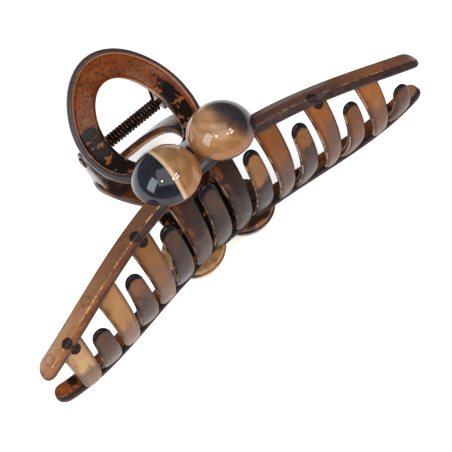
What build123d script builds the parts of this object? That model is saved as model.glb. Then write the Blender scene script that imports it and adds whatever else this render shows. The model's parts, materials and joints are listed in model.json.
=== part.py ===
"""Large claw clip: two sprung, curved jaws with interlocking teeth, hoop handles and bead trims.

Frame, in millimetres: +X runs along the clip, +Y points from the teeth to the handles and +Z is
up. The clip lies on its lower beads and its lower handle, and the origin is under the middle of it.
Both jaws are described by their distance out from the mid-plane between them, called height.
"""
import os
from math import cos, pi, sin

from build123d import *

# ---------------------------------------------------------------- driving dimensions
BAR_HALF = 70.6             # half the overall length
BAR_END = 2.8               # the ends are rounded off over this length
BAR_END_STEPS = ((1.0, 1.0), (0.43, 0.87), (0.13, 0.66), (0.0, 0.42))   # share of BAR_END left, section size
BAR_DEPTH = 7.0             # bar section, front to back
BAR_RISE = 2.3              # height of the bar's front ridge above the tooth line
RIDGE_SET_BACK = 2.4        # how far the front ridge leans back
BAR_BACK_TOP = 2.1
BAR_BACK_LOW = -0.8
BAR_TAPER = 0.02            # how much slimmer the section is near the ends
BAR_CORNER = 0.55

TOOTH_COUNT = 8
TOOTH_PITCH = 16.0
TOOTH_ROOT_WIDTH = 7.6
TOOTH_WIDTH = 5.4
TOOTH_ROOT_THICK = 2.7
TOOTH_SET_BACK = 1.4        # the root starts this far behind the front corner of the bar
TOOTH_TIP_THICK = 1.9
TOOTH_BULGE_MIDDLE = 5.2    # how far a tooth bows forward of a straight line
TOOTH_BULGE_END = 2.6
TOOTH_OVERLAP = 0.03        # share of its length by which a tooth starts inside the bar
TIP_LENGTH = 3.0            # the rounded tip of a tooth
TIP_STEPS = ((1.0, 1.0, 1.0), (0.7, 0.95, 0.97), (0.43, 0.83, 0.9), (0.2, 0.64, 0.78), (0.05, 0.38, 0.6))
                            # share of TIP_LENGTH left, width and thickness
FIRST_UPPER_TOOTH = -60.0

PAD_RADIUS = 9.5            # round seats under the beads
PAD_THICK = 1.7
PAD_TOP = 19.2              # height of the glued face of each seat
BEAD_X = 10.1
BEAD_Y = 7.3
BEAD_BASE = 9.9             # radius of the bead's flat back
BEAD_HEIGHT = 7.9
SEAT_CLEAR = 0.05           # each seat is cut flat, a little wider than its bead

NECK_HALF_WIDTH = 13.2      # web between the bar and the handle
NECK_TOP = ((4.0, PAD_TOP - 1.2), (9.0, PAD_TOP - 1.4), (13.0, 15.9), (16.5, 12.4))
NECK_LOW = ((15.2, 9.6), (11.2, 13.6), (8.4, 15.9), (4.0, 16.4))
NECK_REACH = 4.0            # from the last point of its top face to where it meets the handle
NECK_THICK = 2.9

DIP_HEIGHT = 6.9            # closest approach of the handle's outer surface to the mid-plane
DIP_Y = 28.0
HANDLE_CURVE = 0.0282       # parabola that the handle follows, per millimetre
HOOP_THICK = 3.0
HOOP_EDGE = 0.9             # rounding of its edges
HOOP_HALF_WIDTH = 18.9
HOOP_MID_Y = 37.0
HOOP_FAR = 16.5             # from the widest point to the far end, seen from above
HOOP_NEAR = 21.2            # from the widest point back towards the beads
HOLE_HALF_WIDTH = 10.5
HOLE_MID_Y = 35.6
HOLE_FAR = 12.1
HOLE_NEAR = 15.0

HINGE_Y = 44.0
EAR_THICK = 1.6
EAR_RADIUS = 3.1
INNER_EAR_X = 12.5          # inside faces of the upper jaw's ears
INNER_EAR_ROOT_Y = (35.5, 45.0)    # where they join the hoop
OUTER_EAR_X = 16.3          # the lower jaw's ears stand at the outer edge of its hoop
OUTER_EAR_ROOT_Y = (33.0, 41.5)

PIN_RADIUS = 1.0
PIN_FIT = 0.05              # radial running clearance in the upper jaw's ears
PIN_SEAT = 0.02             # radial clearance in the lower jaw's ears
HEAD_RADIUS = 1.8
HEAD_THICK = 0.5
HEAD_GAP = 0.1              # between each head and the ear beside it

WIRE_RADIUS = 0.48
COIL_RADIUS = 1.68
COIL_PITCH = 1.15
COIL_TURNS = 20            # a whole number, so that the two legs point opposite ways
LEG_LENGTH = 10.6

MARK_RADIUS = 1.5           # round moulding marks in the bars' inner faces
MARK_SPAN = 2.4             # height of the cutter that leaves them, centred MARK_DROP under the tooth line
MARK_DROP = 1.0
MARK_SET_BACK = 5.2
UPPER_MARKS_X = (-60.0, -28.0, 4.0, 36.0)
LOWER_MARKS_X = (-64.0, -36.0, -4.0, 28.0, 60.0)

MID_HEIGHT = PAD_TOP + BEAD_HEIGHT    # the mid-plane's height above the table

os.makedirs("parts", exist_ok=True)


# ---------------------------------------------------------------- curves of one jaw
def reach(x):
    """How far along the wing x lies: 0 in the middle, 1 near the end."""
    return (x / 60) ** 2


def tooth_line(x):
    """Front, lower corner of the bar, where the teeth leave it: (y, height)."""
    u = reach(x)
    return -16.7 * u + 5.7 * u * u, 17.7 - 5.5 * u - 2.3 * u * u


def tip_line(x):
    """Where the tip of a tooth at x comes to rest, past the mid-plane: (y, height)."""
    u = reach(x)
    return -0.6 - 17.0 * u + 5.0 * u * u, -15.4 + 7.1 * u + 1.0 * u * u


def handle_height(y):
    """Outer surface of the handle."""
    return DIP_HEIGHT + HANDLE_CURVE * (y - DIP_Y) ** 2


def ellipse_point(angle, half_width, mid_y, far, near):
    """Point of an egg-shaped ring, seen from above; angle 0 is the far end."""
    span = far if cos(angle) > 0 else near
    return half_width * sin(angle), mid_y + span * cos(angle)


# ---------------------------------------------------------------- pieces of one jaw
def bar_section(x, scale):
    """Cross-section of the arched bar at x."""
    y, height = tooth_line(x)
    size = scale * (1 - BAR_TAPER * reach(x))
    corners = ((0, 0), (RIDGE_SET_BACK, BAR_RISE), (BAR_DEPTH, BAR_BACK_TOP), (BAR_DEPTH, BAR_BACK_LOW))
    mid_y, mid_h = BAR_DEPTH / 2, BAR_RISE / 2
    placed = [(y + mid_y + (cy - mid_y) * size, height + mid_h + (ch - mid_h) * size) for cy, ch in corners]
    with BuildSketch(Plane.YZ.offset(x)) as section:
        with BuildLine():
            Polyline(placed, close=True)
        make_face()
        fillet(section.vertices(), BAR_CORNER * size)
    return section.sketch


def bar():
    """Arched bar, with stepped sections that round off its two ends."""
    straight = BAR_HALF - BAR_END
    loft([bar_section(straight * step / 6, 1.0) for step in range(-6, 7)])
    for side in (-1, 1):
        loft([bar_section(side * (BAR_HALF - BAR_END * left), scale)
              for left, scale in BAR_END_STEPS], ruled=True)


def tooth_frame(x, t):
    """Plane across a tooth, t of the way from its root (0) to its tip (1), with the depth of tooth there."""
    root_y, root_h = tooth_line(x)
    root_y += TOOTH_SET_BACK
    tip_y, tip_h = tip_line(x)
    bulge = TOOTH_BULGE_MIDDLE + (TOOTH_BULGE_END - TOOTH_BULGE_MIDDLE) * min(reach(x), 1)
    y = root_y + (tip_y - root_y) * t - 4 * bulge * t * (1 - t)
    height = root_h + (tip_h - root_h) * t
    along = Vector(0, (tip_y - root_y) - 4 * bulge * (1 - 2 * t), tip_h - root_h).normalized()
    inward = Vector(0, -along.Z, along.Y)
    thick = TOOTH_ROOT_THICK + (TOOTH_TIP_THICK - TOOTH_ROOT_THICK) * t
    centre = Vector(x, y, height) + inward * (thick / 2)
    return Plane(origin=centre, x_dir=(1, 0, 0), z_dir=along), thick


def tooth_section(x, t, width, slim):
    """Rounded section of the tooth at x."""
    plane, thick = tooth_frame(x, t)
    with BuildSketch(plane) as section:
        RectangleRounded(width, thick * slim, thick * slim * 0.38)
    return section.sketch


def tooth(x):
    """One curved tooth: an even body, then short straight steps that round off its tip."""
    length = tooth_line(x)[1] - tip_line(x)[1]
    body_end = 1 - TIP_LENGTH / length
    narrowing = TOOTH_ROOT_WIDTH - TOOTH_WIDTH
    body = [(body_end * step / 4, TOOTH_ROOT_WIDTH - narrowing * step / 4) for step in range(5)]
    body[0] = (-TOOTH_OVERLAP, TOOTH_ROOT_WIDTH)
    loft([tooth_section(x, t, width, 1.0) for t, width in body])
    loft([tooth_section(x, 1 - TIP_LENGTH * left / length, TOOTH_WIDTH * wide, slim)
          for left, wide, slim in TIP_STEPS], ruled=True)


def hoop_half(side):
    """Half of the handle's hoop, made of sections set round the egg shape."""
    sections = []
    for step in range(10):
        angle = pi * step / 9
        ox, oy = ellipse_point(angle, HOOP_HALF_WIDTH, HOOP_MID_Y, HOOP_FAR, HOOP_NEAR)
        ix, iy = ellipse_point(angle, HOLE_HALF_WIDTH, HOLE_MID_Y, HOLE_FAR, HOLE_NEAR)
        outer = Vector(side * ox, oy, handle_height(oy))
        inner = Vector(side * ix, iy, handle_height(iy))
        across = (outer - inner).normalized()
        slope = 2 * HANDLE_CURVE * ((oy + iy) / 2 - DIP_Y)
        up = Vector(0, -slope, 1).normalized()
        along = across.cross(up).normalized()
        up = along.cross(across).normalized()
        centre = (outer + inner) / 2 - up * (HOOP_THICK / 2)
        with BuildSketch(Plane(origin=centre, x_dir=across, z_dir=along)) as section:
            RectangleRounded((outer - inner).length, HOOP_THICK, HOOP_EDGE)
        sections.append(section.sketch)
    loft(sections)


def neck():
    """Curved web that carries the handle from the bar, under the bead seats."""
    meets_y = NECK_TOP[-1][0] + NECK_REACH
    top = [*NECK_TOP, (meets_y, handle_height(meets_y))]
    low = [(meets_y - 0.5, handle_height(meets_y) - NECK_THICK), *NECK_LOW]
    with BuildSketch(Plane.YZ) as web:
        with BuildLine():
            Spline(top)
            Line(top[-1], low[0])
            Spline(low)
            Line(low[-1], top[0])
        make_face()
    extrude(web.sketch, amount=NECK_HALF_WIDTH, both=True)


def ear(inside, root_y, hole_radius, side):
    """Triangular ear that hangs from one leg of the hoop to the hinge pin."""
    start = inside if side > 0 else -inside - EAR_THICK
    root = [(y, handle_height(y) - HOOP_THICK / 2) for y in root_y]
    with BuildSketch(Plane.YZ.offset(start)) as outline:
        with Locations((HINGE_Y, 0)):
            Circle(EAR_RADIUS)
        Polygon(*root, (HINGE_Y + EAR_RADIUS * 0.94, EAR_RADIUS * 0.34), (HINGE_Y, -EAR_RADIUS * 0.5),
                (HINGE_Y - EAR_RADIUS * 0.83, EAR_RADIUS * 0.56), align=None)
        with Locations((HINGE_Y, 0)):
            Circle(hole_radius, mode=Mode.SUBTRACT)
    extrude(outline.sketch, amount=EAR_THICK)


def jaw(first_tooth, ear_inside, ear_root_y, hole_radius, marks):
    """One moulded jaw, above the mid-plane."""
    with BuildPart() as moulding:
        bar()
        for number in range(TOOTH_COUNT):
            tooth(first_tooth + TOOTH_PITCH * number)
        with BuildSketch(Plane.XY.offset(PAD_TOP - PAD_THICK)):
            with Locations((-BEAD_X, BEAD_Y), (BEAD_X, BEAD_Y)):
                Circle(PAD_RADIUS)
        extrude(amount=PAD_THICK)
        with BuildSketch(Plane.XY.offset(PAD_TOP)):
            with Locations((-BEAD_X, BEAD_Y), (BEAD_X, BEAD_Y)):
                Circle(BEAD_BASE + SEAT_CLEAR)
        extrude(amount=BEAD_HEIGHT, mode=Mode.SUBTRACT)
        neck()
        for side in (-1, 1):
            hoop_half(side)
            ear(ear_inside, ear_root_y, hole_radius, side)
        for x in marks:
            y, height = tooth_line(x)
            with Locations((x, y + MARK_SET_BACK, height - MARK_DROP)):
                Cylinder(MARK_RADIUS, MARK_SPAN, mode=Mode.SUBTRACT)
    return moulding.part


def finish_part(part, name):
    """Put a piece in its place above the table and write it."""
    placed = Pos(0, centre_shift, MID_HEIGHT) * part
    placed.label = name
    export_step(placed, f"parts/{name}.step")


# ---------------------------------------------------------------- the two jaws
upper = jaw(FIRST_UPPER_TOOTH, INNER_EAR_X, INNER_EAR_ROOT_Y, PIN_RADIUS + PIN_FIT, UPPER_MARKS_X)
lower = jaw(FIRST_UPPER_TOOTH + TOOTH_PITCH / 2, OUTER_EAR_X, OUTER_EAR_ROOT_Y, PIN_RADIUS + PIN_SEAT,
            LOWER_MARKS_X)

front = min(upper.bounding_box().min.Y, lower.bounding_box().min.Y)
back = max(upper.bounding_box().max.Y, lower.bounding_box().max.Y)
centre_shift = -(front + back) / 2

finish_part(upper, "upper_jaw")
finish_part(mirror(lower, about=Plane.XY), "lower_jaw")

# ---------------------------------------------------------------- the beads
bead_radius = (BEAD_BASE ** 2 + BEAD_HEIGHT ** 2) / (2 * BEAD_HEIGHT)
for side_name, side in (("left", -1), ("right", 1)):
    with BuildPart() as bead:
        with Locations((side * BEAD_X, BEAD_Y, PAD_TOP + BEAD_HEIGHT - bead_radius)):
            Sphere(bead_radius)
        split(bisect_by=Plane.XY.offset(PAD_TOP), keep=Keep.TOP)
    finish_part(bead.part, f"upper_{side_name}_bead")
    finish_part(mirror(bead.part, about=Plane.XY), f"lower_{side_name}_bead")

# ---------------------------------------------------------------- the hinge pin
pin_half = OUTER_EAR_X + EAR_THICK + HEAD_GAP
with BuildPart() as hinge_pin:
    with BuildSketch(Plane.YZ.offset(-pin_half)):
        with Locations((HINGE_Y, 0)):
            Circle(PIN_RADIUS)
    extrude(amount=2 * pin_half)
    for side in (-1, 1):
        with BuildSketch(Plane.YZ.offset(side * pin_half)):
            with Locations((HINGE_Y, 0)):
                Circle(HEAD_RADIUS)
        extrude(amount=side * HEAD_THICK)
finish_part(hinge_pin.part, "hinge_pin")

# ---------------------------------------------------------------- the torsion spring
coil_half = COIL_PITCH * COIL_TURNS / 2
with BuildPart() as torsion_spring:
    with BuildLine() as coil:
        Helix(pitch=COIL_PITCH, height=2 * coil_half, radius=COIL_RADIUS,
              center=(-coil_half, 0, 0), direction=(1, 0, 0))
    with BuildSketch(Plane(origin=coil.line @ 0, z_dir=coil.line % 0)):
        Circle(WIRE_RADIUS)
    sweep()
    for side in (-1, 1):
        bend = (side * coil_half, 0, COIL_RADIUS)
        with Locations(bend):
            Sphere(WIRE_RADIUS * 1.1)
        with BuildSketch(Plane(origin=bend, z_dir=(0, -side, 0))):
            Circle(WIRE_RADIUS)
        extrude(amount=LEG_LENGTH)
finish_part(Pos(0, HINGE_Y, 0) * Rot(-90, 0, 0) * torsion_spring.part, "torsion_spring")
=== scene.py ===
import json
from math import cos, pi, radians, sin, sqrt

import bmesh
import bpy
import numpy as np
from mathutils import Euler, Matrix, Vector


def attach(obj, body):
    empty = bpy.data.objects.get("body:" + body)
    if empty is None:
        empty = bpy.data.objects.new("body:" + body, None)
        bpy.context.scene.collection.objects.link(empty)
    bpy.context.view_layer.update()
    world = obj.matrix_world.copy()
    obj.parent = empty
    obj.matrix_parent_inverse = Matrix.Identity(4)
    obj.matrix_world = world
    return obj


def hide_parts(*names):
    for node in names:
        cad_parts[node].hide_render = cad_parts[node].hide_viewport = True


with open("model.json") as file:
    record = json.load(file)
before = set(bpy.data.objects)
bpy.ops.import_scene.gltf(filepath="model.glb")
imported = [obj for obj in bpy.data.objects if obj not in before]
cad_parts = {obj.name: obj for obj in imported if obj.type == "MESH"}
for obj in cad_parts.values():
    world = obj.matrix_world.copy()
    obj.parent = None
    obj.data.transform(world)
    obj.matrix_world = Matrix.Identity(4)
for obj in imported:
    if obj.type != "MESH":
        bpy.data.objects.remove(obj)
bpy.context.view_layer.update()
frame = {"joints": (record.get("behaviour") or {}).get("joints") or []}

# ------------------------------------------------------------------ sizes, in mm
# The clip's own frame: y from the tooth line, heights from the plane between the jaws.
HINGE_Y = 44.0
hinge = frame["joints"][0]["pos_m"]
SHIFT = hinge[1] * 1000 - HINGE_Y
MID = hinge[2] * 1000

BAR_HALF = 70.6
BAR_END = 3.4                       # length of the rounding at each end
BAR_DEPTH = 7.0                     # from the tooth line to the back face
RIDGE_BACK, RIDGE_HEIGHT = 2.4, 2.3
BACK_TOP, BACK_LOW = 2.1, -0.8      # heights of the back face's two edges
BAR_DISH = 0.16                     # hollow of the top face behind the ridge

TOOTH_REACH = 60.0                  # the jaw's curves are stated by x as a share of this
TOOTH_PITCH = 16
UPPER_TEETH = [-TOOTH_REACH + TOOTH_PITCH * n for n in range(8)]
LOWER_TEETH = [x + TOOTH_PITCH / 2 for x in UPPER_TEETH]
TOOTH_SET_BACK = 1.4                # from the tooth line to the middle of a root
BULGE_MIDDLE, BULGE_END = 5.2, 2.6  # how far a tooth bows forward, in the middle and at the ends
ROOT_WIDTH, TOOTH_TAPER = 7.6, 2.2
ROOT_THICK, TIP_THICK = 2.7, 1.9
TIP_ROUNDING = 3.3
TOOTH_CROWN = 0.5

MARK_RADIUS, INNER_MARK_RADIUS = 1.7, 1.5
UPPER_MARKS = (-60.0, -28.0, 36.0)
LOWER_MARKS = (-64.0, -36.0, 28.0, 60.0)
GATE_TRACES = (-66.5, -49.5)

PAD_TOP, PAD_RADIUS = 19.2, 9.5
BEAD_X, BEAD_Y, BEAD_BASE, BEAD_HEIGHT = 10.1, 7.3, 9.9, 7.9
BEAD_RADIUS = (BEAD_BASE ** 2 + BEAD_HEIGHT ** 2) / (2 * BEAD_HEIGHT)

DIP_HEIGHT, DIP_Y, HANDLE_CURVE = 6.9, 28.0, 0.0282
HANDLE_HALF = 1.5                   # half the handle's thickness
HOOP_RIM = dict(half_width=18.9, mid_y=37.0, far=16.5, near=21.2)
HOOP_HOLE = dict(half_width=10.5, mid_y=35.6, far=12.1, near=15.0)
NECK_HALF = 13.2

# inside is the x of an ear's face towards the middle; root_y is where the ear starts and ends on the handle
EAR_RADIUS = 3.1
UPPER_EARS = dict(inside=12.5, root_y=(35.5, 45.0))
LOWER_EARS = dict(inside=16.3, root_y=(33.0, 41.5))
COIL_HALF, COIL_RADIUS, COIL_TURNS = 11.5, 1.68, 20
WIRE_RADIUS, SPRING_LEG = 0.48, 10.6
PIN_HALF, PIN_RADIUS = 18.0, 1.0

# material slots of a jaw
BAR, TEETH, HANDLE, PADS = range(4)


# ------------------------------------------------------------------ curves of one jaw
def reach(x):
    """0 in the middle of the clip, 1 at the outermost tooth, rising as the square."""
    return (x / TOOTH_REACH) ** 2


def tooth_line(x):
    """Front edge of the bar: its y and height."""
    u = reach(x)
    return -16.7 * u + 5.7 * u * u, 17.7 - 5.5 * u - 2.3 * u * u


def tip_line(x):
    """The line that the tips of the teeth reach: its y and height."""
    u = reach(x)
    return -0.6 - 17.0 * u + 5.0 * u * u, -15.4 + 7.1 * u + 1.0 * u * u


def handle_height(y):
    """Outer face of the handle, lowest behind the domes."""
    return DIP_HEIGHT + HANDLE_CURVE * (y - DIP_Y) ** 2


def smooth(low, high, v):
    """0 before low, 1 after high, with an even start and end."""
    t = np.clip((np.asarray(v, float) - low) / (high - low), 0, 1)
    return t * t * (3 - 2 * t)


def circle(count):
    """Angles of evenly spaced points round a circle."""
    return np.linspace(0, 2 * pi, count, endpoint=False)


# ------------------------------------------------------------------ mesh building
class Moulding:
    """Closed shells in the clip's frame, with named values on every vertex."""

    def __init__(self, side):
        self.side = side
        self.points, self.faces, self.slots = [], [], []
        self.values = {}

    def add(self, points, faces, slot, **values):
        base = sum(len(p) for p in self.points)
        self.points.append(np.asarray(points, float))
        self.faces += [[base + i for i in f] for f in faces]
        self.slots += [slot] * len(faces)
        for name in sorted(set(values) | set(self.values)):
            column = self.values.setdefault(name, [np.zeros(base)] if base else [])
            v = values.get(name, 0.0)
            column.append(np.broadcast_to(np.asarray(v, float), (len(points),)).copy())

    def rings(self, rings, slot, closed=False, **values):
        """A skin over a row of rings of points; closed joins the last ring to the first."""
        rings = np.asarray(rings, float)
        n, m = rings.shape[:2]
        faces = []
        for i in range(n if closed else n - 1):
            a, b = i * m, ((i + 1) % n) * m
            faces += [[a + j, a + (j + 1) % m, b + (j + 1) % m, b + j] for j in range(m)]
        if not closed:
            faces += [list(range(m)), list(range((n - 1) * m, n * m))]
        flat = {k: np.broadcast_to(v, (n, m)).reshape(-1) for k, v in values.items()}
        self.add(rings.reshape(-1, 3), faces, slot, **flat)

    def build(self, name, materials):
        points = np.vstack(self.points)
        heights = MID + self.side * points[:, 2]
        points = np.stack([points[:, 0], points[:, 1] + SHIFT, heights], 1) / 1000
        mesh = bpy.data.meshes.new(name)
        mesh.from_pydata(points.tolist(), [], self.faces)
        mesh.polygons.foreach_set("material_index", self.slots)
        for key, column in self.values.items():
            attribute = mesh.attributes.new(key, "FLOAT", "POINT")
            attribute.data.foreach_set("value", np.concatenate(column).astype(np.float32))
        shell = bmesh.new()
        shell.from_mesh(mesh)
        bmesh.ops.recalc_face_normals(shell, faces=shell.faces)
        shell.to_mesh(mesh)
        shell.free()
        mesh.shade_smooth()
        for material in materials:
            mesh.materials.append(material)
        obj = bpy.data.objects.new(name, mesh)
        bpy.context.scene.collection.objects.link(obj)
        return obj


def rounded_polygon(corners, radius, step, arc=5):
    """Points round a convex polygon with rounded corners, and how much each belongs to each side."""
    corners = np.asarray(corners, float)
    n = len(corners)
    points, owner = [], []
    for i in range(n):
        prev, here, nxt = corners[i - 1], corners[i], corners[(i + 1) % n]
        a, b = (prev - here), (nxt - here)
        la, lb = np.linalg.norm(a), np.linalg.norm(b)
        a, b = a / la, b / lb
        half = np.arccos(np.clip(a @ b, -1, 1)) / 2
        cut = min(radius / np.tan(half), 0.45 * min(la, lb))
        r = cut * np.tan(half)
        centre = here + (a + b) / np.linalg.norm(a + b) * (r / np.sin(half))
        start, end = here + a * cut - centre, here + b * cut - centre
        for k in range(arc + 1):
            t = k / arc
            v = start * (1 - t) + end * t
            points.append(centre + v / np.linalg.norm(v) * r)
            weight = np.zeros(n)
            weight[i - 1], weight[i] = 1 - t, t
            owner.append(weight)
        # the straight run to where the next corner's rounding starts
        back, after = here - nxt, corners[(i + 2) % n] - nxt
        lc = np.linalg.norm(after)
        turn = np.arccos(np.clip(back @ after / lb / lc, -1, 1)) / 2
        run_end = nxt + back / lb * min(radius / np.tan(turn), 0.45 * min(lb, lc))
        run_start = points[-1]
        count = max(1, int(np.linalg.norm(run_end - run_start) / step))
        for k in range(1, count):
            points.append(run_start + (run_end - run_start) * k / count)
            weight = np.zeros(n)
            weight[i] = 1
            owner.append(weight)
    return np.array(points), np.array(owner)


def resample(outline, count):
    """The same closed outline with a fixed number of points, evenly spaced from its first one."""
    loop = np.vstack([outline, outline[:1]])
    run = np.concatenate([[0], np.cumsum(np.linalg.norm(np.diff(loop, axis=0), axis=1))])
    at = np.linspace(0, run[-1], count, endpoint=False)
    return np.stack([np.interp(at, run, loop[:, 0]), np.interp(at, run, loop[:, 1])], 1)


def spline(points, count):
    """Points along a smooth curve through the given ones."""
    p = np.asarray(points, float)
    p = np.vstack([2 * p[0] - p[1], p, 2 * p[-1] - p[-2]])
    out = []
    for i in range(1, len(p) - 2):
        for k in range(count):
            t = k / count
            out.append(0.5 * ((2 * p[i]) + (-p[i - 1] + p[i + 1]) * t
                              + (2 * p[i - 1] - 5 * p[i] + 4 * p[i + 1] - p[i + 2]) * t * t
                              + (-p[i - 1] + 3 * p[i] - 3 * p[i + 1] + p[i + 2]) * t ** 3))
    out.append(p[-2])
    return np.array(out)


def hull(points):
    """Outline of a set of points, in order."""
    points = sorted(map(tuple, points))

    def half(seq):
        out = []
        for p in seq:
            while len(out) > 1 and ((out[-1][0] - out[-2][0]) * (p[1] - out[-2][1])
                                    - (out[-1][1] - out[-2][1]) * (p[0] - out[-2][0])) <= 0:
                out.pop()
            out.append(p)
        return out[:-1]
    return np.array(half(points) + half(points[::-1]))


def upright_rings(x, profile, count):
    """Rings about the upright axis of a dome at x, from a profile of radii and heights."""
    return [[(x + r * cos(a), BEAD_Y + r * sin(a), h) for a in circle(count)] for r, h in profile]


# ------------------------------------------------------------------ parts of a jaw
def mark_distance(points, marks, on_roots):
    """Distance in mm from the nearest moulding mark; it is MARK_RADIUS at the edge of every disc."""
    nearest = np.full(len(points), 20.0)
    for x in marks:
        y, h = tooth_line(x)
        # on the ridge, on the tooth's root (a radius of 0 is too small to show) and inside the bar; the first
        # two are painted copies of the inner recess's shade, as seen through the bar
        discs = (((x - 0.5, y + 2.5, h + RIDGE_HEIGHT), MARK_RADIUS),
                 ((x + 0.5, y + TOOTH_SET_BACK, h - 0.5), MARK_RADIUS if on_roots else 0),
                 ((x, y + 5.2, h - 0.6), INNER_MARK_RADIUS))
        for centre, radius in discs:
            away = np.linalg.norm(points - np.array(centre), axis=1)
            nearest = np.minimum(nearest, away + MARK_RADIUS - radius)
    return nearest


def trace_distance(points, upper):
    """Distance in mm to the nearest centre of the faint round traces on the upper bar's left wing."""
    nearest = np.full(len(points), 20.0)
    for x in GATE_TRACES if upper else ():
        y, h = tooth_line(x)
        centre = np.array((x, y + 4.5, h + BACK_TOP))
        nearest = np.minimum(nearest, np.linalg.norm(points - centre, axis=1))
    return nearest


def add_bar(jaw, marks):
    straight = BAR_HALF - BAR_END
    steps = 14
    caps = [straight + BAR_END * sin(pi / 2 * (k + 1) / steps) for k in range(steps)]
    xs = [-c for c in reversed(caps)] + list(np.arange(-straight, straight + 0.01, 0.45)) + caps
    corners = ((0, 0), (RIDGE_BACK, RIDGE_HEIGHT), (BAR_DEPTH, BACK_TOP), (BAR_DEPTH, BACK_LOW))
    base, owner = rounded_polygon(corners, radius=0.62, step=0.42)
    centre = np.array((BAR_DEPTH / 2, RIDGE_HEIGHT / 2))
    behind_ridge = (base[:, 0] - RIDGE_BACK) / (BAR_DEPTH - RIDGE_BACK)
    dish = BAR_DISH * owner[:, 1] * np.clip(np.sin(behind_ridge * pi), 0, 1)
    rings = []
    for x in xs:
        y, h = tooth_line(x)
        past = min(1, max(0, (abs(x) - straight) / BAR_END))
        scale = (1 - 0.02 * reach(x)) * max(0.12, (1 - past ** 2.4) ** 0.5)
        section = centre + (base - centre) * scale
        rings.append(np.stack([np.full(len(base), x), y + section[:, 0], h + section[:, 1] - dish], 1))
    rings = np.array(rings)
    # how much each point belongs to the front, top, back and inner face
    front, top, back, inner = np.moveaxis(np.broadcast_to(owner, (len(xs), *owner.shape)), -1, 0)
    depth = (rings[..., 1] - rings[..., 1].min(1, keepdims=True)) / BAR_DEPTH
    flat = rings.reshape(-1, 3)
    upper = jaw.side > 0
    jaw.rings(rings, BAR, front=front, inner=inner, back=back, ridge=np.minimum(front, top) * 2,
              depth=depth, mark=mark_distance(flat, marks, upper).reshape(rings.shape[:2]),
              trace=trace_distance(flat, upper).reshape(rings.shape[:2]))


def add_tooth(jaw, x, marks):
    root_y, root_h = tooth_line(x)
    root_y += TOOTH_SET_BACK
    tip_y, tip_h = tip_line(x)
    bulge = BULGE_MIDDLE + (BULGE_END - BULGE_MIDDLE) * min(reach(x), 1)
    tip = TIP_ROUNDING / (root_h - tip_h)
    steps = 14
    ts = list(np.linspace(-0.03, 1 - tip, 44))
    ts += [1 - tip + tip * sin(pi / 2 * k / steps) for k in range(1, steps + 1)]
    rings, t_of, across, front = [], [], [], []
    for t in ts:
        y = root_y + (tip_y - root_y) * t - 4 * bulge * t * (1 - t)
        h = root_h + (tip_h - root_h) * t
        along = np.array((0, (tip_y - root_y) - 4 * bulge * (1 - 2 * t), tip_h - root_h))
        along /= np.linalg.norm(along)
        inward = np.array((0, -along[2], along[1]))
        thick = ROOT_THICK + (TIP_THICK - ROOT_THICK) * t
        past = min(1, max(0, (t - (1 - tip)) / tip))
        width = (ROOT_WIDTH - TOOTH_TAPER * max(0, t)) * max(0.10, (1 - past ** 2.3) ** 0.5)
        slim = thick * max(0.16, (1 - past ** 3.2) ** 0.5)
        centre = np.array((x, y, h)) + inward * thick / 2
        a, b = width / 2, slim / 2
        corners = ((-a, -b), (a, -b), (a, b), (-a, b))
        outline, _ = rounded_polygon(corners, radius=min(0.42 * slim, 0.45 * width), step=0.55, arc=6)
        outline = resample(outline, 44)
        crown = TOOTH_CROWN * (outline[:, 0] / a) ** 2 * (1 - 0.6 * past)
        depth = outline[:, 1] + crown * smooth(0.3, -0.6, outline[:, 1] / b)
        rings.append(centre + outline[:, :1] * np.array((1, 0, 0)) + depth[:, None] * inward)
        t_of.append(np.full(len(outline), t))
        across.append(outline[:, 0] / (ROOT_WIDTH / 2 - TOOTH_TAPER / 2 * t))
        front.append(np.clip(0.5 - outline[:, 1] / slim, 0, 1))
    rings = np.array(rings)
    mark = mark_distance(rings.reshape(-1, 3), marks, jaw.side > 0).reshape(rings.shape[:2])
    jaw.rings(rings, TEETH, along=np.array(t_of), across=np.array(across), front=np.array(front),
              tooth=x / TOOTH_REACH, mark=mark)


def ellipse_point(angle, half_width, mid_y, far, near):
    span = far if cos(angle) > 0 else near
    return half_width * sin(angle), mid_y + span * cos(angle)


def add_hoop(jaw):
    """The handle's ring: a rolled rim on its outer face, and a sunk face that rises towards the hole."""
    rings, rim, up_of, far, hole = [], [], [], [], []
    steps = 150
    for step in range(steps):
        angle = 2 * pi * step / steps
        ox, oy = ellipse_point(angle, **HOOP_RIM)
        ix, iy = ellipse_point(angle, **HOOP_HOLE)
        outer = np.array((ox, oy, handle_height(oy)))
        inner = np.array((ix, iy, handle_height(iy)))
        across = (outer - inner) / np.linalg.norm(outer - inner)
        slope = 2 * HANDLE_CURVE * ((oy + iy) / 2 - DIP_Y)
        up = np.array((0, -slope, 1)) / sqrt(1 + slope * slope)
        up -= across * (up @ across)
        up /= np.linalg.norm(up)
        width = np.linalg.norm(outer - inner)
        half = width / 2
        corners = ((-half, -HANDLE_HALF), (half, -HANDLE_HALF), (half, HANDLE_HALF), (-half, HANDLE_HALF))
        outline, _ = rounded_polygon(corners, radius=0.95, step=0.5, arc=6)
        outline = resample(outline, 72)
        from_rim = half - outline[:, 0]
        on_face = smooth(0.2, 1.2, outline[:, 1])
        dish = on_face * 0.5 * smooth(1.4, 2.3, from_rim) * (1 - 0.5 * smooth(2.5, width, from_rim))
        centre = (outer + inner) / 2 - up * HANDLE_HALF
        rings.append(centre + outline[:, :1] * across + (outline[:, 1] - dish)[:, None] * up)
        rim.append(from_rim)
        hole.append(width - from_rim)
        up_of.append(outline[:, 1] / HANDLE_HALF)
        far.append(np.full(len(outline), cos(angle)))
    jaw.rings(np.array(rings), HANDLE, closed=True, rim=np.array(rim), up=np.array(up_of),
              far=np.array(far), hole=np.array(hole))


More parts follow.
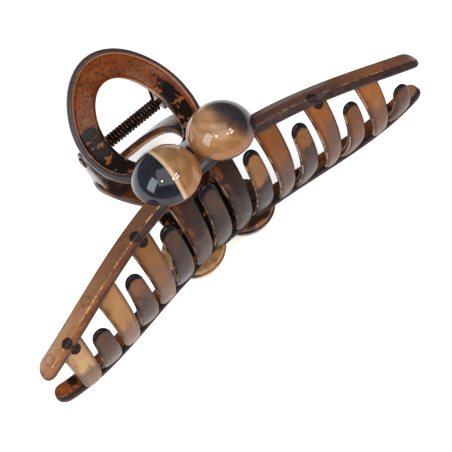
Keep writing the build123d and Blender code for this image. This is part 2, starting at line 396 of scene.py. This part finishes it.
def add_neck(jaw):
    """The strap that falls from the bar to the handle under the domes, coloured like the hoop's dark legs."""
    meets = handle_height(20.5)
    top = spline(((4.0, 18.0), (9.0, 17.8), (13.0, 15.9), (16.5, 12.4), (20.5, meets)), 8)
    low = spline(((4.0, 16.4), (8.4, 15.9), (11.2, 13.6), (15.2, 9.6), (20.0, meets - 2.9)), 8)
    mid, half = (top + low) / 2, (top - low) / 2
    edge_radius = 0.9
    edges = [NECK_HALF - inset for inset in (0.9, 0.4, 0.1, 0.0)]
    xs = [-e for e in reversed(edges)] + list(np.linspace(-11.5, 11.5, 24)) + edges
    rings = []
    for x in xs:
        inset = min(NECK_HALF - abs(x), edge_radius)
        k = 0.45 + 0.55 * sqrt(max(0, 1 - (1 - inset / edge_radius) ** 2))
        outline = np.vstack([mid + half * k, (mid - half * k)[::-1]])
        rings.append(np.column_stack([np.full(len(outline), x), outline]))
    jaw.rings(rings, HANDLE, rim=4.0, up=1.0, far=-1.0, hole=9.0)


def add_pads(jaw):
    """Round seats under the domes: tone 0 on the left, 1 on the right."""
    steps = ((-0.6, -1.7), (-0.2, -1.6), (0.0, -1.3), (0.0, -0.3), (-0.1, 0.0))
    profile = [(PAD_RADIUS + wider, PAD_TOP + higher) for wider, higher in steps]
    for side, tone in ((-1, 0.0), (1, 1.0)):
        jaw.rings(upright_rings(side * BEAD_X, profile, 72), PADS, tone=tone)


def add_ears(jaw, inside, root_y):
    """Two ears round the pin, from the handle's inner face; their tone is 2."""
    eye = [(HINGE_Y + EAR_RADIUS * cos(a), EAR_RADIUS * sin(a)) for a in circle(48)]
    root = [(y, handle_height(y) - HANDLE_HALF) for y in root_y]
    outline = hull(eye + root)
    away = outline - outline.mean(0)
    outward = away / np.linalg.norm(away, axis=1)[:, None]
    for side in (-1, 1):
        rings = []
        for depth, inset in ((0, 0.3), (0.1, 0.1), (0.3, 0), (1.3, 0), (1.5, 0.1), (1.6, 0.3)):
            shape = outline - outward * inset
            rings.append(np.column_stack([np.full(len(shape), side * (inside + depth)), shape]))
        jaw.rings(rings, PADS, tone=2.0)


# ------------------------------------------------------------------ material helpers
class Shader:
    """A material's node tree, with short ways to add what the materials here share."""

    def __init__(self, name):
        self.material = bpy.data.materials.new(name)
        self.material.use_nodes = True
        self.tree = self.material.node_tree
        self.nodes, self.links = self.tree.nodes, self.tree.links
        self.bsdf = self.nodes["Principled BSDF"]
        self.position = self.nodes.new("ShaderNodeTexCoord").outputs["Object"]

    def put(self, socket, value):
        if isinstance(value, bpy.types.NodeSocket):
            self.links.new(value, socket)
        elif isinstance(value, (tuple, list)) and len(value) == 3 and len(socket.default_value) == 4:
            socket.default_value = (*value, 1)
        else:
            socket.default_value = value

    def value(self, name):
        """A named value of the mesh."""
        node = self.nodes.new("ShaderNodeAttribute")
        node.attribute_name = name
        return node.outputs["Fac"]

    def axis(self, name):
        """One coordinate of the surface, in metres."""
        node = self.nodes.new("ShaderNodeSeparateXYZ")
        self.links.new(self.position, node.inputs[0])
        return node.outputs[name]

    def math(self, kind, *values):
        node = self.nodes.new("ShaderNodeMath")
        node.operation = kind
        for socket, value in zip(node.inputs, values):
            self.put(socket, value)
        return node.outputs[0]

    def product(self, first, *others):
        for other in others:
            first = self.math("MULTIPLY", first, other)
        return first

    def total(self, first, *others):
        for other in others:
            first = self.math("ADD", first, other)
        return first

    def remap(self, v, low, high, to_low=0.0, to_high=1.0):
        """v's way from low to high as a smooth step from to_low to to_high."""
        node = self.nodes.new("ShaderNodeMapRange")
        node.interpolation_type = "SMOOTHSTEP"
        self.put(node.inputs["Value"], v)
        for name, x in (("From Min", low), ("From Max", high), ("To Min", to_low), ("To Max", to_high)):
            self.put(node.inputs[name], x)
        return node.outputs[0]

    def band(self, v, rise, fall):
        """1 from the end of the rise to the start of the fall, 0 outside both."""
        return self.product(self.remap(v, *rise), self.remap(v, *fall, 1.0, 0.0))

    def noise(self, scale, detail=3.0, stretch=(1, 1, 1), offset=(0, 0, 0), distortion=0.0, rough=0.55):
        mapping = self.nodes.new("ShaderNodeMapping")
        self.links.new(self.position, mapping.inputs["Vector"])
        mapping.inputs["Scale"].default_value = stretch
        mapping.inputs["Location"].default_value = offset
        node = self.nodes.new("ShaderNodeTexNoise")
        self.links.new(mapping.outputs[0], node.inputs["Vector"])
        node.inputs["Scale"].default_value = scale
        node.inputs["Detail"].default_value = detail
        node.inputs["Roughness"].default_value = rough
        node.inputs["Distortion"].default_value = distortion
        return node.outputs["Fac"]

    def clouds(self, edges, scale, detail=3.0, to=(0.0, 1.0), **look):
        """Noise as soft-edged patches, from to[0] outside them to to[1] inside."""
        return self.remap(self.noise(scale, detail, **look), *edges, *to)

    def wander(self, height, scale, detail=3.0, **look):
        """Noise about zero, of the given height from its lowest to its highest."""
        return self.product(self.math("SUBTRACT", self.noise(scale, detail, **look), 0.5), height)

    def mix(self, factor, a, b, kind="MIX"):
        node = self.nodes.new("ShaderNodeMix")
        node.data_type = "RGBA"
        node.blend_type = kind
        self.put(node.inputs["Factor"], factor)
        self.put(node.inputs["A"], a)
        self.put(node.inputs["B"], b)
        return node.outputs["Result"]

    def paint(self, colour, other, mask, amount):
        """The colour, covered by the other one where the mask is, up to the amount."""
        return self.mix(self.product(mask, amount), colour, other)

    def tint(self, colour, by, mask, amount):
        """The colour, multiplied by a darker one where the mask is, up to the amount."""
        return self.paint(colour, self.mix(1.0, colour, by, "MULTIPLY"), mask, amount)

    def ramp(self, factor, *stops):
        node = self.nodes.new("ShaderNodeValToRGB")
        self.put(node.inputs[0], factor)
        elements = node.color_ramp.elements
        while len(elements) < len(stops):
            elements.new(0.5)
        for element, (at, colour) in zip(elements, stops):
            element.position = at
            element.color = (*colour, 1)
        return node.outputs["Color"]

    def bump(self, height, strength, distance):
        node = self.nodes.new("ShaderNodeBump")
        self.put(node.inputs["Height"], height)
        node.inputs["Strength"].default_value = strength
        node.inputs["Distance"].default_value = distance
        self.links.new(node.outputs[0], self.bsdf.inputs["Normal"])

    def finish(self, colour, roughness, soft=0.0, depth=0.0015, coat=0.0, specular=0.5, metallic=0.0):
        self.put(self.bsdf.inputs["Base Color"], colour)
        self.put(self.bsdf.inputs["Roughness"], roughness)
        self.put(self.bsdf.inputs["Specular IOR Level"], specular)
        self.put(self.bsdf.inputs["Metallic"], metallic)
        self.put(self.bsdf.inputs["Subsurface Weight"], soft)
        self.bsdf.inputs["Subsurface Scale"].default_value = depth
        self.bsdf.inputs["Subsurface Radius"].default_value = (1.0, 0.5, 0.25)
        self.put(self.bsdf.inputs["Coat Weight"], coat)
        self.bsdf.inputs["Coat Roughness"].default_value = 0.06
        return self.material


# ------------------------------------------------------------------ materials
BLACK = (0.012, 0.009, 0.010)
SHADED_PLASTIC = (0.034, 0.028, 0.034)


def along_clip(s, wobble):
    """0 at the left end of the clip, 1 at its right end, along cloudy borders."""
    clip_length = 0.14
    x = s.math("MULTIPLY_ADD", s.axis("X"), 1 / clip_length, 0.5)
    return s.total(x, s.wander(wobble, 60, 2))


def specks(s, colour, amount):
    """Fine dark flecks in the plastic."""
    return s.tint(colour, (0.35, 0.25, 0.2), s.clouds((0.60, 0.70), 1900, 2, rough=0.7), amount)


def paint_mark_shade(s, colour):
    """Dark discs at the moulding marks: painted shade of their round recesses, and painted copies of it where
    the inner recess shows through the bar.
    """
    dark_disc_shade = s.remap(s.value("mark"), MARK_RADIUS - 0.1, MARK_RADIUS + 0.1, 1.0, 0.0)
    return s.paint(colour, (0.014, 0.007, 0.006), dark_disc_shade, 0.96)


def bar_top(s, x, depth):
    top = s.ramp(x, (0.0, (0.36, 0.215, 0.135)), (0.10, (0.29, 0.150, 0.080)), (0.20, (0.175, 0.080, 0.040)),
                 (0.36, (0.125, 0.056, 0.030)), (0.44, (0.085, 0.042, 0.027)), (0.60, (0.065, 0.032, 0.024)),
                 (0.78, (0.085, 0.040, 0.028)), (0.92, (0.22, 0.085, 0.036)), (1.0, (0.12, 0.050, 0.032)))
    # cloudy darker streaks that run along the bar
    streak = s.clouds((0.42, 0.68), 150, 4, stretch=(0.25, 1, 1), distortion=0.6)
    top = s.tint(top, (0.42, 0.3, 0.3), streak, 0.5)
    # a warm band just behind the ridge, on the wings, and a darker back edge, which is painted shade: the
    # dark outline of the clear plastic
    wings = s.total(s.remap(x, 0.50, 0.62, 1.0, 0.25), s.remap(x, 0.76, 0.86, 0.0, 0.7))
    warm = s.product(s.remap(depth, 0.34, 0.66, 1.0, 0.0),
                     s.clouds((0.42, 0.58), 120, 3, offset=(3, 1, 0)), wings)
    top = s.paint(top, (0.26, 0.088, 0.022), warm, 0.55)
    top = s.mix(s.remap(depth, 0.80, 0.93, 0.0, 0.92), top, (0.045, 0.024, 0.020))
    # a cloudy lilac streak along the middle of the right wing: a painted reflection
    lilac = s.product(s.band(x, (0.55, 0.63), (0.78, 0.88)), s.band(depth, (0.56, 0.68), (0.80, 0.90)),
                      s.clouds((0.34, 0.52), 140, 3, stretch=(0.4, 1, 1), offset=(5, 0, 3)))
    top = s.paint(top, (0.165, 0.125, 0.130), lilac, 0.75)
    top = specks(s, top, 0.8)
    # faint round traces, drawn as rings
    ring = s.band(s.value("trace"), (1.15, 1.35), (1.5, 1.7))
    return s.tint(top, (0.35, 0.28, 0.25), ring, 0.55)


def bar_front(s, x, depth):
    front = s.ramp(x, (0.0, (0.27, 0.120, 0.060)), (0.10, (0.23, 0.085, 0.030)), (0.22, (0.18, 0.058, 0.017)),
                   (0.33, (0.080, 0.028, 0.013)), (0.40, (0.016, 0.014, 0.020)),
                   (0.55, (0.013, 0.011, 0.015)), (0.66, (0.045, 0.022, 0.018)), (1.0, (0.055, 0.030, 0.028)))
    patch = s.clouds((0.42, 0.6), 260, 4, stretch=(0.35, 1, 1), distortion=0.8)
    front = s.tint(front, (0.28, 0.22, 0.24), patch, 0.6)
    # painted shade: a dark line along the lower edge of the front face, the outline of the clear plastic
    front = s.mix(s.remap(depth, 0.10, 0.02, 0.0, 0.75), front, (0.030, 0.020, 0.020))
    # a cool sheen in front of the left dome
    sheen = s.product(s.band(x, (0.36, 0.41), (0.47, 0.52)), s.band(depth, (0.08, 0.15), (0.20, 0.27)))
    return s.paint(front, (0.16, 0.17, 0.21), sheen, 0.8)


def bar_inside(s, x, depth):
    """The bar's face towards the other jaw: amber grain, pale at the right end, dark at the front edge."""
    grain = s.noise(520, 4, stretch=(0.35, 1.0, 1.0), distortion=1.6)
    inner = s.ramp(grain, (0.30, (0.050, 0.016, 0.006)), (0.46, (0.165, 0.044, 0.010)),
                   (0.56, (0.26, 0.075, 0.016)), (0.72, (0.36, 0.13, 0.035)))
    inner = s.mix(s.remap(x, 0.94, 0.98, 0.0, 0.8), inner, (0.36, 0.19, 0.085))
    inner = s.paint(inner, (0.045, 0.016, 0.008), s.clouds((0.56, 0.70), 90, 3, offset=(1, 5, 2)), 0.6)
    # under the right dome it is almost black
    inner = s.paint(inner, BLACK, s.band(x, (0.50, 0.56), (0.62, 0.70)), 0.85)
    return s.mix(s.remap(depth, 0.20, 0.27, 1.0, 0.0), inner, SHADED_PLASTIC)


def bar_material(name, lower):
    s = Shader(name)
    x = along_clip(s, 0.10)
    depth = s.value("depth")
    front = SHADED_PLASTIC if lower else bar_front(s, x, depth)
    colour = s.mix(s.value("front"), bar_top(s, x, depth), front)
    colour = s.mix(s.value("back"), colour, (0.03, 0.017, 0.014))
    colour = s.mix(s.value("inner"), colour, bar_inside(s, x, depth))
    ends = s.remap(s.math("ABSOLUTE", s.axis("X")), 0.0690, 0.0705, 0.0, 0.75)
    colour = s.mix(ends, colour, (0.055, 0.028, 0.024))
    # broken bright line where light leaves the ridge, weaker on the right and missing in the middle
    glint = s.product(s.remap(s.value("ridge"), 0.12, 0.75),
                      s.clouds((0.43, 0.56), 900, 3, stretch=(1, 0.2, 0.2)),
                      s.remap(s.math("ABSOLUTE", s.math("SUBTRACT", x, 0.47)), 0.06, 0.14),
                      s.clouds((0.42, 0.58), 170, 3, to=(0.25, 1.0), offset=(2, 7, 1)),
                      s.remap(x, 0.48, 0.62, 0.85, 0.38))
    colour = s.mix(glint, colour, (0.80, 0.42, 0.17))
    colour = paint_mark_shade(s, colour)
    rough = s.clouds((0.3, 0.7), 400, 4, to=(0.20, 0.36))
    s.bump(s.noise(700, 4), 0.10, 0.0004)
    return s.finish(colour, rough, soft=0.15, depth=0.0006, coat=0.04, specular=0.20)


def upper_tooth_colours(s, x):
    root = s.ramp(x, (0.0, (0.46, 0.28, 0.15)), (0.14, (0.36, 0.175, 0.07)), (0.27, (0.22, 0.092, 0.036)),
                  (0.38, (0.038, 0.017, 0.012)), (0.56, (0.018, 0.008, 0.006)), (0.66, (0.20, 0.070, 0.023)),
                  (0.85, (0.28, 0.098, 0.026)), (1.0, (0.31, 0.115, 0.034)))
    tip = s.ramp(x, (0.0, (0.22, 0.125, 0.086)), (0.25, (0.20, 0.105, 0.066)), (0.40, (0.070, 0.038, 0.033)),
                 (0.56, (0.038, 0.021, 0.019)), (0.68, (0.120, 0.060, 0.042)), (1.0, (0.17, 0.078, 0.045)))
    return root, tip


def lower_tooth_colours(s, x):
    root = s.ramp(x, (0.0, (0.100, 0.050, 0.038)), (0.25, (0.060, 0.031, 0.027)),
                  (0.42, (0.036, 0.020, 0.019)), (0.62, (0.030, 0.018, 0.017)),
                  (0.8, (0.075, 0.034, 0.024)), (1.0, (0.115, 0.050, 0.030)))
    tip = s.ramp(x, (0.0, (0.060, 0.030, 0.021)), (0.2, (0.18, 0.080, 0.036)), (0.32, (0.075, 0.034, 0.022)),
                 (0.46, (0.055, 0.030, 0.025)), (0.58, (0.26, 0.118, 0.045)), (0.8, (0.19, 0.07, 0.022)),
                 (1.0, (0.10, 0.045, 0.025)))
    return root, tip


def tooth_material(name, lower):
    s = Shader(name)
    t = s.value("along")
    across = s.value("across")
    front = s.value("front")
    x = s.math("MULTIPLY_ADD", s.value("tooth"), 0.5, 0.5)
    # the root's and the tip's colour meet along a ragged, cloudy line, at another height on each wing
    if lower:
        root, tip = lower_tooth_colours(s, x)
        border = (0.62, 0.80)
        wing = s.remap(x, 0.28, 0.60, -0.12, 0.06)
    else:
        root, tip = upper_tooth_colours(s, x)
        border = (0.34, 0.48)
        wing = s.remap(x, 0.60, 0.70, 0.0, 0.13)
    edge = s.wander(0.7, 170, 4, distortion=0.8)
    place = s.total(t, edge, s.wander(0.5, 45, 1, offset=(7, 2, 4)), wing)
    colour = s.mix(s.remap(place, *border), root, tip)
    cloud = s.clouds((0.35, 0.7), 260, 5, offset=(2, 9, 1), distortion=0.5)
    colour = s.tint(colour, (0.55, 0.5, 0.52), cloud, 0.35)
    colour = specks(s, colour, 0.22)
    if not lower:
        amber = s.product(s.remap(across, -0.25, -0.7), s.remap(t, 0.30, 0.55, 1.0, 0.0),
                          s.clouds((0.44, 0.58), 230, 3, offset=(6, 1, 2), distortion=0.8))
        colour = s.paint(colour, (0.22, 0.066, 0.016), amber, 0.6)
    # painted shade on the side walls, which are dark, with a painted amber glow in places
    shaded_wall = s.mix(s.clouds((0.38, 0.56), 230, 3, offset=(4, 4, 4)),
                 (0.018, 0.009, 0.007), (0.16, 0.045, 0.010))
    colour = s.mix(s.remap(front, 0.45, 0.80, 1.0, 0.0), colour, shaded_wall)
    sideways = s.math("ABSOLUTE", across)
    # painted shade towards the rounded sides of the front face
    shade = s.product(s.remap(sideways, 0.52, 0.95), s.remap(front, 0.5, 0.8))
    colour = s.tint(colour, (0.22, 0.17, 0.17), shade, 0.72)
    # a thin cream line where light leaves the left edge
    line = s.product(s.band(across, (-0.99, -0.955), (-0.93, -0.89)),
                     s.clouds((0.45, 0.58), 220, 2, offset=(9, 9, 9)))
    colour = s.paint(colour, (0.52, 0.33, 0.20), line, 0.65)
    rough = s.clouds((0.3, 0.7), 350, 3, to=(0.26, 0.42), offset=(1, 1, 6))
    if lower:
        # glossy black end with a ragged edge, round the outside of the tip
        end = s.total(t, s.product(edge, 0.05), s.remap(sideways, 0.2, 0.9, 0.0, 0.045))
        colour = s.mix(s.remap(end, 0.935, 0.96), colour, BLACK)
        rough = s.product(rough, s.remap(t, 0.90, 0.95, 1.0, 0.35))
    colour = paint_mark_shade(s, colour)
    s.bump(s.noise(600, 4, offset=(8, 0, 0)), 0.08, 0.0004)
    return s.finish(colour, rough, soft=0.10, depth=0.0005, specular=0.13)


def hoop_material(name):
    s = Shader(name)
    rim, up, x = s.value("rim"), s.value("up"), s.axis("X")
    # speckled amber, deeper towards the hole
    warm = s.mix(s.clouds((0.3, 0.7), 110, 4, distortion=0.4), (0.125, 0.027, 0.005), (0.22, 0.056, 0.010))
    grit = s.clouds((0.50, 0.59), 1250, 3, rough=0.75, offset=(3, 0, 1))
    warm = s.paint(warm, (0.035, 0.010, 0.004), grit, 0.75)
    warm = s.mix(s.remap(rim, 5.0, 8.5, 0.0, 0.35), warm, (0.085, 0.018, 0.004))
    # near the domes the legs turn almost black, with small brown windows
    dark = s.mix(s.clouds((0.585, 0.62), 330, 2, offset=(2, 2, 5)),
                 (0.008, 0.005, 0.004), (0.20, 0.066, 0.018))
    ragged = s.wander(0.8, 240, 4, distortion=1.2)
    leaning = s.total(s.product(x, -6.0), s.remap(x, -0.006, 0.004, -0.46, -0.26))
    # the outer strip of the right leg stays brown
    strip = s.product(s.remap(rim, 2.4, 3.6, 0.9, 0.0), s.remap(x, 0.0, 0.006))
    place = s.total(s.value("far"), ragged, leaning, strip)
    face = s.mix(s.remap(place, -0.02, 0.08), dark, warm)
    # thin pale line inside the rolled rim, and a pale translucent lip round the hole
    face = s.paint(face, (0.42, 0.25, 0.19), s.band(rim, (1.20, 1.45), (1.60, 1.85)), 0.5)
    lip = s.product(s.remap(s.value("hole"), 0.15, 0.50, 1.0, 0.0), s.remap(up, -0.2, 0.6),
                    s.remap(place, -0.4, 0.1, 0.1, 0.7))
    face = s.mix(lip, face, (0.62, 0.36, 0.20))
    colour = s.mix(s.remap(rim, 0.95, 1.3, 1.0, 0.0), face, (0.045, 0.032, 0.034))
    under = s.mix(s.clouds((0.45, 0.6), 200, 3, offset=(1, 2, 3)),
                  (0.10, 0.028, 0.008), (0.025, 0.014, 0.012))
    colour = s.mix(s.remap(up, -0.6, 0.4, 1.0, 0.0), colour, under)
    rough = s.clouds((0.3, 0.7), 300, 3, to=(0.14, 0.26))
    s.bump(s.noise(420, 3), 0.14, 0.0005)
    return s.finish(colour, rough, soft=0.12, depth=0.0006, specular=0.13)


def pad_material(name, lower):
    """Seats under the domes and ears of the hinge.

    They are dark brown, but on the lower jaw the left seat is caramel and the ears are greyish.
    """
    s = Shader(name)
    dark = s.mix(s.clouds((0.50, 0.62), 190, 4, stretch=(0.5, 1, 1), distortion=1.3, offset=(3, 3, 0)),
                 (0.040, 0.018, 0.011), (0.21, 0.066, 0.016))
    colour = dark
    if lower:
        tone = s.value("tone")
        caramel = s.mix(s.clouds((0.4, 0.65), 150, 4, distortion=1.2),
                        (0.42, 0.23, 0.10), (0.15, 0.055, 0.018))
        ear = s.mix(s.clouds((0.45, 0.6), 260, 3, offset=(0, 4, 4)),
                    (0.21, 0.155, 0.135), (0.075, 0.050, 0.045))
        colour = s.mix(s.remap(tone, 1.2, 1.8), s.mix(tone, caramel, dark), ear)
    rough = s.clouds((0.3, 0.7), 300, 3, to=(0.15, 0.28))
    s.bump(s.noise(420, 3), 0.10, 0.0004)
    return s.finish(colour, rough, soft=0.15, depth=0.0008, coat=0.1, specular=0.3)


def bead_material(name, normal, offset, split, smoky, fade):
    """Two-tone resin: the colour changes across a plane through the dome, over fade mm each way."""
    s = Shader(name)
    node = s.nodes.new("ShaderNodeVectorMath")
    node.operation = "DOT_PRODUCT"
    s.put(node.inputs[0], s.position)
    node.inputs[1].default_value = normal
    past = s.product(s.math("SUBTRACT", node.outputs["Value"], offset), 1000.0)
    past = s.total(past, s.wander(fade * 2.4, 110, 3, distortion=0.6))
    caramel = s.mix(s.clouds((0.35, 0.68), 120, 4, distortion=1.4, offset=(1, 0, 2)),
                    (0.24, 0.108, 0.036), (0.37, 0.20, 0.10))
    # a warm glow, low in the upper domes and all through the lower ones
    glow = s.remap(s.axis("Z"), MID / 1000 + 0.0195, MID / 1000 + 0.0235, 1.0, 0.0)
    caramel = s.paint(caramel, (0.30, 0.085, 0.014), glow, 0.45)
    dark = s.mix(s.clouds((0.4, 0.7), 160, 4, distortion=0.9, offset=(5, 5, 0)),
                 smoky, tuple(c * 2.2 for c in smoky))
    colour = s.mix(s.remap(past, -fade, fade), caramel, dark)
    if split:
        # a thin cream seam between the two resins
        colour = s.paint(colour, (0.60, 0.42, 0.28), s.band(past, (-1.3, -0.35), (0.0, 0.35)), 0.8)
    rough = s.clouds((0.3, 0.7), 90, 2, to=(0.05, 0.10))
    return s.finish(colour, rough, soft=0.20, depth=0.001, coat=0.15, specular=0.42)


def wire_material():
    s = Shader("bronzed_wire")
    tone = s.mix(s.clouds((0.35, 0.7), 900, 4), (0.016, 0.009, 0.008), (0.09, 0.048, 0.030))
    rough = s.clouds((0.3, 0.7), 1500, 3, to=(0.25, 0.45))
    return s.finish(tone, rough, metallic=0.9)


# ------------------------------------------------------------------ the jaws
def make_jaw(node, body, side, teeth, marks, ears):
    lower = side < 0
    jaw = Moulding(side)
    add_bar(jaw, marks)
    for x in teeth:
        add_tooth(jaw, x, marks)
    add_hoop(jaw)
    add_neck(jaw)
    add_pads(jaw)
    add_ears(jaw, **ears)
    materials = [bar_material(node + "_bar", lower), tooth_material(node + "_teeth", lower),
                 hoop_material(node + "_handle"), pad_material(node + "_pads", lower)]
    obj = jaw.build(node + "_look", materials)
    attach(obj, body)
    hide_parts(node)


make_jaw("upper_jaw", "upper", 1, UPPER_TEETH, UPPER_MARKS, UPPER_EARS)
make_jaw("lower_jaw", "lower", -1, LOWER_TEETH, LOWER_MARKS, LOWER_EARS)

# ------------------------------------------------------------------ the domes
# the plane where each dome's colour changes (its normal, and a point on it), whether a cream seam marks it,
# the darker resin's colour, and over how many mm each way the colours fade into each other
DOMES = {
    "upper_left_bead": dict(normal=(-0.995, 0.054, 0.087), through=(-11.4, 7.9, 16.7), split=True,
                            smoky=(0.006, 0.006, 0.010), fade=0.25),
    "upper_right_bead": dict(normal=(0.755, -0.132, 0.643), through=(14.9, 6.9, 20.9), split=False,
                             smoky=(0.018, 0.014, 0.016), fade=2.0),
    "lower_left_bead": dict(normal=(-0.9, 0.1, 0.3), through=(-14.0, 7.0, -20.0), split=False,
                            smoky=(0.05, 0.022, 0.012), fade=1.8),
    "lower_right_bead": dict(normal=(0.3, -0.6, 0.7), through=(10.0, 4.0, -24.0), split=False,
                             smoky=(0.022, 0.009, 0.005), fade=2.0),
}
sphere_height = PAD_TOP + BEAD_HEIGHT - BEAD_RADIUS
from_base_to_top = np.linspace(np.arcsin(BEAD_BASE / BEAD_RADIUS), 0.012, 56)
dome_profile = [(BEAD_BASE - 0.35, PAD_TOP)]
dome_profile += [(BEAD_RADIUS * sin(a), sphere_height + BEAD_RADIUS * cos(a)) for a in from_base_to_top]
for node, look in DOMES.items():
    side = 1 if node.startswith("upper") else -1
    dome = Moulding(side)
    dome.rings(upright_rings(BEAD_X if "right" in node else -BEAD_X, dome_profile, 112), 0)
    x, y, h = look["through"]
    through = Vector((x, y + SHIFT, MID + h)) / 1000
    normal = Vector(look["normal"]).normalized()
    material = bead_material(node + "_resin", normal, normal @ through,
                             look["split"], look["smoky"], look["fade"])
    obj = dome.build(node + "_look", [material])
    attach(obj, "upper" if side > 0 else "lower")
    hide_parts(node)


# ------------------------------------------------------------------ the spring and its pin
def tube(path, radius, count, name, material):
    """A round wire along a path."""
    path = np.asarray(path, float)
    heading = np.gradient(path, axis=0)
    heading /= np.linalg.norm(heading, axis=1)[:, None]
    side = np.cross(heading[0], (0.3, 0.5, 0.8))
    rings = []
    for point, way in zip(path, heading):
        side = side - way * (side @ way)
        side /= np.linalg.norm(side)
        other = np.cross(way, side)
        rings.append([point + radius * (side * cos(a) + other * sin(a)) for a in circle(count)])
    shell = Moulding(1)
    shell.rings(rings, 0)
    return shell.build(name, [material])


wire = wire_material()
leg_steps, turn_steps = 14, 30
coil_steps = COIL_TURNS * turn_steps
leg_y = HINGE_Y + COIL_RADIUS
# the lower leg and the coil are one wire
coil = [(-COIL_HALF, leg_y, -SPRING_LEG + SPRING_LEG * k / leg_steps) for k in range(leg_steps)]
for k in range(coil_steps + 1):
    a = 2 * pi * k / turn_steps
    x = -COIL_HALF + 2 * COIL_HALF * k / coil_steps
    coil.append((x, HINGE_Y + COIL_RADIUS * cos(a), COIL_RADIUS * sin(a)))
# the upper leg is its own piece, because it turns with the other jaw; it starts inside the last turn
upper_leg = [(COIL_HALF, leg_y, SPRING_LEG * k / leg_steps - 0.2) for k in range(leg_steps + 1)]
wires = (("torsion_spring_look", coil, "lower"), ("torsion_spring_leg", upper_leg, "upper"))
for name, points, body in wires:
    spring = tube(points, WIRE_RADIUS, 12, name, wire)
    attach(spring, body)
    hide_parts("torsion_spring")

# how far each ring of a head stands past the shank, and its radius
PIN_HEAD = ((0.5, 1.3), (0.45, 1.6), (0.3, 1.78), (0.05, 1.8))
left = [(-PIN_HALF - past, r) for past, r in PIN_HEAD] + [(-PIN_HALF, PIN_RADIUS)]
profile = left + [(-x, r) for x, r in reversed(left)]
pin = Moulding(1)
pin.rings([[(x, HINGE_Y + r * cos(a), r * sin(a)) for a in circle(40)] for x, r in profile], 0)
pin = pin.build("hinge_pin_look", [wire])
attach(pin, "lower")
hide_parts("hinge_pin")

# ------------------------------------------------------------------ stage, light and camera
bpy.ops.mesh.primitive_plane_add(size=6, location=(0, 0, -0.0002))
floor = bpy.context.object
floor.name = "stage_floor"
floor_material = bpy.data.materials.new("stage_white")
floor_material.use_nodes = True
floor_bsdf = floor_material.node_tree.nodes["Principled BSDF"]
floor_bsdf.inputs["Base Color"].default_value = (0.9, 0.9, 0.9, 1)
floor_bsdf.inputs["Roughness"].default_value = 0.9
floor_bsdf.inputs["Specular IOR Level"].default_value = 0.0
floor_bsdf.inputs["Emission Color"].default_value = (1, 1, 1, 1)
floor_bsdf.inputs["Emission Strength"].default_value = 0.60
floor.data.materials.append(floor_material)

world = bpy.data.worlds.new("studio")
world.use_nodes = True
background = world.node_tree.nodes["Background"]
background.inputs["Color"].default_value = (0.94, 0.96, 1.0, 1)
background.inputs["Strength"].default_value = 0.24
bpy.context.scene.world = world

LIT_POINT = Vector((0.0, -0.012, 0.04))


def lamp(name, direction, distance, size, power, colour):
    """A rectangular lamp, this far from the lit point in the given direction."""
    light = bpy.data.lights.new(name, "AREA")
    light.energy = power
    light.color = colour
    light.shape = "RECTANGLE"
    light.size, light.size_y = size
    obj = bpy.data.objects.new(name, light)
    d = Vector(direction).normalized()
    obj.location = LIT_POINT + d * distance
    obj.rotation_euler = d.to_track_quat("Z", "Y").to_euler()
    bpy.context.scene.collection.objects.link(obj)


lamp("soft_key", (-0.25, -0.35, 1.0), 0.9, (0.9, 0.9), 5.0, (1.0, 0.99, 0.97))
lamp("window_left", (-0.85, 0.02, 0.52), 0.6, (0.26, 0.42), 2.2, (0.75, 0.87, 1.0))
lamp("window_front_low", (0.26, -0.68, 0.69), 0.6, (0.12, 0.06), 0.4, (1.0, 0.86, 0.84))
lamp("window_front_high", (0.27, -0.56, 0.79), 0.6, (0.10, 0.04), 0.3, (0.80, 0.90, 1.0))
lamp("spot_left", (-0.50, -0.34, 0.79), 0.6, (0.035, 0.035), 0.45, (1.0, 0.9, 0.6))
lamp("spot_front", (0.03, -0.64, 0.76), 0.6, (0.035, 0.035), 0.45, (1.0, 0.9, 0.6))

# the camera's place in the clip's frame in mm, and its turn about x, y and z in degrees
CAMERA_PLACE = (-92.7875, -180.0145, 285.5519)
CAMERA_TURN = (33.12476, 9.97270, -41.85808)
camera_data = bpy.data.cameras.new("camera")
camera_data.lens = 97.63
camera_data.sensor_width = 36
camera = bpy.data.objects.new("camera", camera_data)
camera.location = Vector((CAMERA_PLACE[0], CAMERA_PLACE[1] + SHIFT, CAMERA_PLACE[2] + MID)) / 1000
camera.rotation_euler = Euler([radians(turn) for turn in CAMERA_TURN])
bpy.context.scene.collection.objects.link(camera)
bpy.context.scene.camera = camera
bpy.context.scene.view_settings.view_transform = "Standard"
